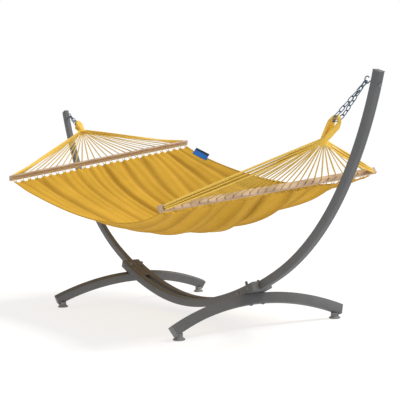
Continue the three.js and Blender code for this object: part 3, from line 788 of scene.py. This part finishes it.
for name, end in ends.items():
    eye_top, gather, axis = eye_line(end)
    length = (gather - eye_top).length
    wide = crossways.cross(axis).normalized()
    wide *= math.copysign(1, wide.z)
    # stations round the loop: along the axis, sideways in the loop's plane, half width across it, half thickness
    loop = [
        (0.001, 0.000, 0.0100, 0.0055), (0.012, 0.0215, 0.0110, 0.0055), (0.034, 0.0255, 0.0150, 0.0065),
        (0.30 * length, 0.0225, 0.0235, 0.0080), (0.55 * length, 0.0150, 0.0225, 0.0090),
        (0.80 * length, 0.0080, 0.0180, 0.0100), (0.93 * length, 0.0030, 0.0140, 0.0090),
    ]
    stations = [(a, -b, c, d) for a, b, c, d in reversed(loop[1:])] + loop
    line = smooth_path([Vector(place) for place in stations], path_steps)
    rings, run = [], [0.0]
    for i, point in enumerate(line):
        ahead = line[min(i + 1, len(line) - 1)] - line[max(i - 1, 0)]
        tangent = ahead.xy.normalized()
        centre = eye_top + axis * point.x + wide * point.y
        out = axis * -tangent.y + wide * tangent.x
        ring = []
        for j in range(eye_sides):
            angle = 2 * math.pi * j / eye_sides
            pleat = 1 + pleat_depth * math.cos(3 * angle + 2.5 * i / path_steps)
            ring.append(
                centre
                + out * point.w * pleat * squared(math.cos(angle))
                + crossways * point.z * squared(math.sin(angle))
            )
        rings.append(ring)
        if i:
            run.append(run[-1] + (point.xy - line[i - 1].xy).length)
    # the collar: the cloth wound round the neck and the first hand's width of the cords
    collar, collar_run = [], []
    for i in range(collar_steps + 1):
        share = i / collar_steps
        radius = collar_neck + collar_flare * share + wrap_height * math.sin(share * 2 * math.pi * wrap_count)
        spot = gather + axis * (collar_start + collar_length * share)
        turns = [2 * math.pi * j / eye_sides for j in range(eye_sides)]
        collar.append([
            spot + wide * radius * 0.85 * math.cos(a) + crossways * radius * 1.1 * math.sin(a) for a in turns
        ])
        collar_run.append(collar_length * share)
    eye = skinned("cloth_eye_" + name, [(rings, run), (collar, collar_run)])
    face_outwards(60)
    take_place(eye, "hammock", eye_cloth, "cotton_cloth", "eye_" + name)

# ---- Spreader bars ----
# Planed beech, rounded along its edges, with a row of drilled holes. The grain runs along the bar.
# Each bar is held only by the cords that run through it.

bar_length, bar_height, bar_thickness, bar_rounding = 1.450, 0.038, 0.018, 0.0035
string_count, string_pitch, hole_radius, drill_length = 27, 0.0535, 0.0034, 0.05


def bar_frame(end):
    """X points to the gather, Y along the bar, Z across its wide face."""
    centre = Vector((end["bar"][0], 0, end["bar"][1]))
    roll = math.radians(end["roll"])
    length = Vector((0, math.cos(roll), math.sin(roll)))
    pull = Vector((end["gather"][0], 0, end["gather"][1])) - centre
    thick = (pull - length * pull.dot(length)).normalized()
    return Matrix.Translation(centre) @ Matrix((thick, length, thick.cross(length))).transposed().to_4x4()


def beech(name):
    """Pale wood with faint rings, fine fibres and short dark flecks along the grain."""
    material, start = new_finish(name)
    wander = cloud(start, object_place(start, (14, 1.0, 14)), 2.0, 3)
    fibres = cloud(start, object_place(start, (420, 9, 420)), 1.0, 3, 0.6)
    cells = {"Vector": object_place(start, (260, 34, 260)), "Scale": 1.0}
    flecks = start.node("ShaderNodeTexVoronoi", None, cells)
    rings = start.node(
        "ShaderNodeTexWave",
        {"wave_type": "BANDS", "bands_direction": "X"},
        {"Vector": object_place(start, (1, 0.05, 1), (0, 0.5, 0)), "Scale": 30.0, "Distortion": 4.0, "Detail": 2.0},
    )
    tone = fibres * 0.45 + rings * 0.3 + wander * 0.3
    base = tone.between(0.25, 0.8).blend((0.36, 0.235, 0.14), (0.64, 0.45, 0.29))
    colour = flecks.between(0.0, 0.18).blend((0.34, 0.21, 0.13), base)
    close_finish(start, {"Base Color": colour, "Roughness": fibres * 0.15 + 0.5}, fibres, 0.25, 0.0004)
    return material


bar_wood = beech("bar_wood")
string_places = [(i - (string_count - 1) / 2) * string_pitch for i in range(string_count)]

for name, end in ends.items():
    bar = block("beech_bar_" + name, (bar_thickness, bar_length, bar_height))
    bpy.ops.mesh.select_all(action="SELECT")
    bpy.ops.mesh.bevel(affect="EDGES", offset=bar_rounding, segments=4)
    bpy.ops.object.mode_set(mode="OBJECT")
    drills = []
    for y in string_places:
        bpy.ops.mesh.primitive_cylinder_add(
            vertices=16, radius=hole_radius, depth=drill_length, location=(0, y, 0), rotation=(0, math.pi / 2, 0)
        )
        bpy.ops.object.transform_apply(location=True, rotation=True, scale=True)
        drills.append(bpy.context.object)
    drill = joined("drill", drills)
    holes = bar.modifiers.new("holes", "BOOLEAN")
    holes.operation = "DIFFERENCE"
    holes.object = drill
    pick_up(bar)
    bpy.ops.object.modifier_apply(modifier="holes")
    bpy.data.objects.remove(drill)
    settle(bar, bar_frame(end))
    bpy.ops.object.shade_smooth_by_angle(angle=math.radians(35))
    take_place(bar, "hammock", bar_wood, "beech", "spreader_bar_" + name)

# ---- Bed ----
# One sheet of woven cotton, hemmed all round. It hangs from a row of cord loops at each end, so its hems are
# scalloped and folds run from them along its length.

bed_width, bed_length, bed_run, bed_thickness, bed_drop, bed_inset = 1.400, 2.25, 2.08, 0.0016, 0.045, 0.042
edge_sag, middle_sag, sag_skew, waist = 0.110, 0.170, 0.28, 0.04
broad_folds, broad_height, sharp_folds, ridge_height, crease_depth = 5.5, 0.008, 11.0, 0.007, 0.016
tuck_height, swell_depth, ripple_height, gather_height = 0.050, 0.024, 0.014, 0.004
hem_lift, scallop_reach, scallop_in, scallop_down = 0.06, 0.045, 0.008, 0.004
hem_radius, hem_steps, hem_sides = 0.0042, 160, 10
cells_along, cells_across = 216, 208


def bed_place(q, t):
    """A point of the bed: q runs from the left bar to the right, t from the front edge (-1) to the back (1)."""
    left, right = ends["left"], ends["right"]
    roll = math.radians(left["roll"] + (right["roll"] - left["roll"]) * q)
    x = left["bar"][0] + bed_inset + (right["bar"][0] - left["bar"][0] - 2 * bed_inset) * q
    bow = 4 * q * (1 - q)
    sag = bow * (1 + sag_skew * (2 * q - 1))
    half = bed_width / 2 * t
    y = half * math.cos(roll) * (1 - waist * bow)
    z = left["bar"][1] + (right["bar"][1] - left["bar"][1]) * q - bed_drop + half * math.sin(roll)
    return Vector((x, y, z - edge_sag * sag - middle_sag * sag * (1 - t * t)))


def bump(distance, width):
    """One at no distance, fading smoothly to nothing a few widths away."""
    return math.exp(-((distance / width) ** 2))


def drift_at(x, y, z):
    return noise.noise(Vector((x, y, z)))


def fold(q, t):
    """How far the cloth stands off its smooth shape, and how much shade is painted into its colour there, most in
    its sharp creases and its deep tuck.
    """
    from_end, across = min(q, 1 - q), (t + 1) / 2
    drift = drift_at(t * 1.3, q * 2.1, 3.7)
    stray = drift_at(t * 3.1, q * 1.4, 8.2)
    broad = math.cos(2 * math.pi * (broad_folds * across + 0.55 * drift + 0.25 * q))
    # sharp folds, each with its own depth and length, that fade towards the middle of the bed
    place = sharp_folds * across + 0.9 * drift + 0.35 * stray
    number = math.floor(place)
    depth = 0.35 + 0.65 * abs(drift_at(number * 1.37, 0.4, 2.2)) * 2
    length = 0.30 + 0.55 * (0.5 + 0.5 * math.sin(number * 2.6))
    fade = bump(q, length) + 0.9 * bump(1 - q, 0.45)
    crease, ridge = bump(place - number - 0.5, 0.17), bump(place - number - 0.22, 0.16)
    # one deep tuck with a hollow in front of it, slanting away from the right bar
    slant = 0.45 * (q - 0.85)
    tuck = tuck_height * bump(t - 0.03 + slant, 0.034) * bump(q - 0.84, 0.13)
    swell = swell_depth * bump(t + 0.09 + slant, 0.07) * bump(q - 0.82, 0.16)
    # small gathers at the hem loops, and a soft unevenness all over
    loops = math.cos(math.pi * (t * bed_width / 2) / string_pitch * 2)
    gathers = gather_height * loops * math.exp(-from_end / 0.035)
    soft = ripple_height * drift_at(t * 1.6, q * 4.0, 1.1)
    height = broad_height * broad * (0.5 + 0.8 * q) + depth * fade * (ridge_height * ridge - crease_depth * crease)
    # painted shade: the colour is darkened in the sharp creases and, most of all, in the deep tuck
    shade = 0.45 * depth * fade * crease + 19 * tuck
    flat_edge = 1 - abs(t) ** 10
    stand = (height + soft + tuck - swell) * flat_edge * min(1, from_end / 0.05 + 0.25) + gathers
    return stand, min(max(shade, 0), 0.85)


def bed_normal(q, t):
    step = 0.004
    along = bed_place(min(q + step, 1), t) - bed_place(max(q - step, 0), t)
    across = bed_place(q, min(t + step, 1)) - bed_place(q, max(t - step, -1))
    return along.cross(across).normalized()


def bed_surface(q, t):
    """The cloth itself, with its folds and the scallops between the loops of its end hems."""
    place = bed_place(q, t) + bed_normal(q, t) * fold(q, t)[0]
    place += Vector((0.013, 0, 0.013)) * bump(1 - q, hem_lift)
    place += Vector((-0.012, 0, 0.014)) * bump(q, hem_lift)
    from_end = min(q, 1 - q) * bed_run
    scallop = abs(math.sin(math.pi * (t * bed_width / 2) / string_pitch))
    drawn = math.exp(-from_end / scallop_reach) * scallop
    place.x += (1 if q < 0.5 else -1) * scallop_in * drawn
    place.z -= scallop_down * drawn
    return place


def shares_of(columns, rows):
    return [(i / columns, j / rows) for i in range(columns + 1) for j in range(rows + 1)]


def cloth_sheet(name, columns, rows, point_at, uv_at):
    """A sheet of cells through the points at each share of its length and height, with a UV map in metres."""
    shares, row = shares_of(columns, rows), rows + 1
    starts = [i * row + j for i in range(columns) for j in range(rows)]
    mesh = bpy.data.meshes.new(name)
    mesh.from_pydata([point_at(a, b) for a, b in shares], [], [(s, s + row, s + row + 1, s + 1) for s in starts])
    layer = mesh.uv_layers.new(name="UVMap")
    for corner, loop in zip(layer.data, mesh.loops):
        corner.uv = uv_at(*shares[loop.vertex_index])
    return new_piece(name, mesh)


# The last colour is painted shade, laid into the bed's creases and its deep tuck.
bed_cloth = woven_cloth("bed_cloth", (0.53, 0.290, 0.026), (0.74, 0.425, 0.044), 0.0022, (0.20, 0.085, 0.006))
bed = cloth_sheet(
    "cotton_bed",
    cells_along,
    cells_across,
    lambda along, across: bed_surface(along, 2 * across - 1),
    lambda along, across: (across * bed_width, along * bed_length),
)
# How much painted shade each point of the bed gets, kept in the crease attribute.
shade_amounts = bed.data.attributes.new("crease", "FLOAT", "POINT")
for vertex, (along, across) in zip(shade_amounts.data, shares_of(cells_along, cells_across)):
    vertex.value = fold(along, 2 * across - 1)[1]
thicken(bed, bed_thickness, 0)
hems, hem_turns = [], [2 * math.pi * j / hem_sides for j in range(hem_sides)]
for edge in (-1, 1):
    line = [bed_surface(i / hem_steps, edge) for i in range(hem_steps + 1)]
    rings = [[place + Vector((0, math.cos(a), math.sin(a))) * hem_radius for a in hem_turns] for place in line]
    hems.append((rings, [i / hem_steps * bed_length for i in range(hem_steps + 1)]))
bed = joined("cotton_bed", [bed, skinned("hems", hems)])
face_outwards(60)
take_place(bed, "hammock", bed_cloth, "cotton_cloth", "bed")

# ---- Strings ----
# Twisted cotton cords. From the gather each one runs through its hole in the bar and loops through the bed's hem.
# The outermost cords of each side are doubled up into a thick bundle along the edge.

cord_radius, cord_sides, strand_half = 0.0023, 6, 0.0021
edge_radius, edge_sides, edge_count, edge_pitch, edge_fan = 0.0042, 8, 9, 0.0038, 0.011
root_back, root_share, root_scatter, slackness = 0.006, 0.020, 0.004, 0.004
before_bar, behind_bar, hem_stop = 0.004, 0.003, 0.995


def twisted_cotton(name, dark, light, turns):
    """Two plies wound round each other, so many turns to the metre, with a little fluff, and shade painted into the
    grooves between the plies.
    """
    material, start = new_finish(name)
    _, u, v = surface_place(start)
    plies = start.sum("SINE", u * (2 * math.pi * 2 / 0.1) + v * (2 * math.pi * turns), 0.0) * 0.5 + 0.5
    fluff = cloud(start, object_place(start), 300, 3)
    # painted shade: the colour is darker in the grooves between the plies
    colour = (plies * 0.6 + fluff * 0.4).blend(dark, light)
    values = {"Base Color": colour, "Roughness": fluff * 0.1 + 0.8, "Specular IOR Level": 0.15}
    close_finish(start, values, plies, 0.5, 0.0008)
    return material


# The cords and the edge bundles are one cotton: the cords are coloured darker as painted shade, the bundles lighter
# as painted light.
cord_cotton_painted_shade = twisted_cotton("cord_cotton_painted_shade", (0.50, 0.31, 0.04), (0.84, 0.58, 0.13), 110)
edge_cotton_painted_light = twisted_cotton("edge_cotton_painted_light", (0.74, 0.46, 0.06), (1.0, 0.72, 0.18), 70)


def cord_rings(points, radius, sides):
    """Rings of points square to a line, for a cord of one thickness, and the length run at each."""
    rings, run = [], [0.0]
    turns = [2 * math.pi * j / sides for j in range(sides)]
    for i, point in enumerate(points):
        ahead = (points[min(i + 1, len(points) - 1)] - points[max(i - 1, 0)]).normalized()
        side = ahead.cross(skyward)
        if side.length < 0.05:
            side = ahead.cross(lengthways)
        side.normalize()
        over = side.cross(ahead)
        rings.append([point + (side * math.cos(a) + over * math.sin(a)) * radius for a in turns])
        if i:
            run.append(run[-1] + (point - points[i - 1]).length)
    return rings, run


def many_cords(name, lines, radius, sides):
    """One mesh of many cords."""
    piece = skinned(name, [cord_rings(smooth_path(line, 2), radius, sides) for line in lines])
    face_outwards(60)
    return piece


def slack_line(begin, finish, bow):
    """Ten points from one place to another, drawn aside by the bow in the middle."""
    return [begin.lerp(finish, k / 9) + bow * math.sin(math.pi * k / 9) for k in range(10)]


def hem_point(q, t):
    return bed_surface(q, min(max(t, -hem_stop), hem_stop))


for name, end in ends.items():
    _, gather, axis = eye_line(end)
    placed = bar_frame(end)
    root_middle = gather - axis * root_back
    hem_q = 1.0 if end["side"] > 0 else 0.0
    lines = []
    for number, y in enumerate(string_places):
        share = y / (bed_width / 2)
        root = root_middle + Vector((0, y * root_share, root_scatter * math.sin(number * 2.4)))
        for strand in (-1, 1):
            wobble = 0.003 * drift_at(number * 1.7, strand * 2.3, 5.5)
            beside = y + strand * strand_half
            outer = placed @ Vector((bar_thickness / 2 + before_bar, beside, wobble))
            inner = placed @ Vector((-bar_thickness / 2 - behind_bar, beside, -0.0005))
            hem = hem_point(hem_q, share + strand * 0.009)
            bulge = (inner + hem) / 2 + Vector((0, strand * 0.006, -0.003))
            tuck = hem_point(abs(hem_q - 0.006), share + strand * 0.004) + Vector((0, 0, -0.004))
            fan = slack_line(root, outer, Vector((wobble, strand * 0.0012, -slackness)))
            lines.append([*fan, inner, bulge, hem, tuck])
    strings = many_cords("cord_fan_" + name, lines, cord_radius, cord_sides)
    take_place(strings, "hammock", cord_cotton_painted_shade, "cotton_cord", "strings_" + name)
    lines = []
    for edge in (-1, 1):
        y = edge * (string_count - 1) / 2 * string_pitch
        for number in range(edge_count):
            spread, row = (number - 4) * edge_pitch, number % 3
            outer = placed @ Vector((bar_thickness / 2 + before_bar, y - edge * 0.006 * row, spread * 0.9))
            root = root_middle + Vector((0, edge * 0.012, spread * 0.8))
            lines.append(slack_line(root, outer, Vector((0, -edge * edge_fan * row, spread * 0.6))))
    bundles = many_cords("edge_cords_" + name, lines, edge_radius, edge_sides)
    take_place(bundles, "hammock", edge_cotton_painted_light, "cotton_cord")

# ---- Label ----
# A blank blue woven label with a darker band along its top, sewn to the back hem near the left bar.
# It stands a little above the hem and leans back.

label_long, label_high, label_thickness, label_q, label_t = 0.200, 0.048, 0.001, 0.112, 0.965
label_columns, label_rows, thread_count, off_cloth, label_wave = 24, 14, 5200.0, 0.004, 0.003
label_share = label_long / 2.09  # how much of the bed's length it takes

label_blue, start = new_finish("label_blue")
_, _, up_the_label = surface_place(start)
threads = start.sum("SINE", up_the_label * thread_count, 0.0) * 0.5 + 0.5
blue = up_the_label.between(0.030, 0.033).blend((0.006, 0.19, 0.74), (0.012, 0.035, 0.11))
close_finish(start, {"Base Color": blue, "Roughness": threads * 0.1 + 0.6}, threads, 0.3, 0.0003)


def label_place(along, up):
    """A point of the label, which leans back from the bed's edge and waves a little at its top."""
    q = label_q + (along - 0.5) * label_share
    lean_back = (bed_place(q, 1.0) - bed_place(q, 0.97)).normalized() * 0.75 + Vector((0, 0, 0.66))
    sewn = bed_surface(q, label_t) + bed_normal(q, label_t) * off_cloth
    wave = label_wave * math.sin(along * math.pi * 1.5) * up
    return sewn + lean_back * (up * label_high) + Vector((0, wave, 0))


label = cloth_sheet(
    "cloth_label", label_columns, label_rows, label_place, lambda along, up: (along * label_long, up * label_high)
)
thicken(label, label_thickness)
bpy.ops.object.shade_smooth_by_angle(angle=math.radians(60))
take_place(label, "hammock", label_blue, "label_cloth", "label")
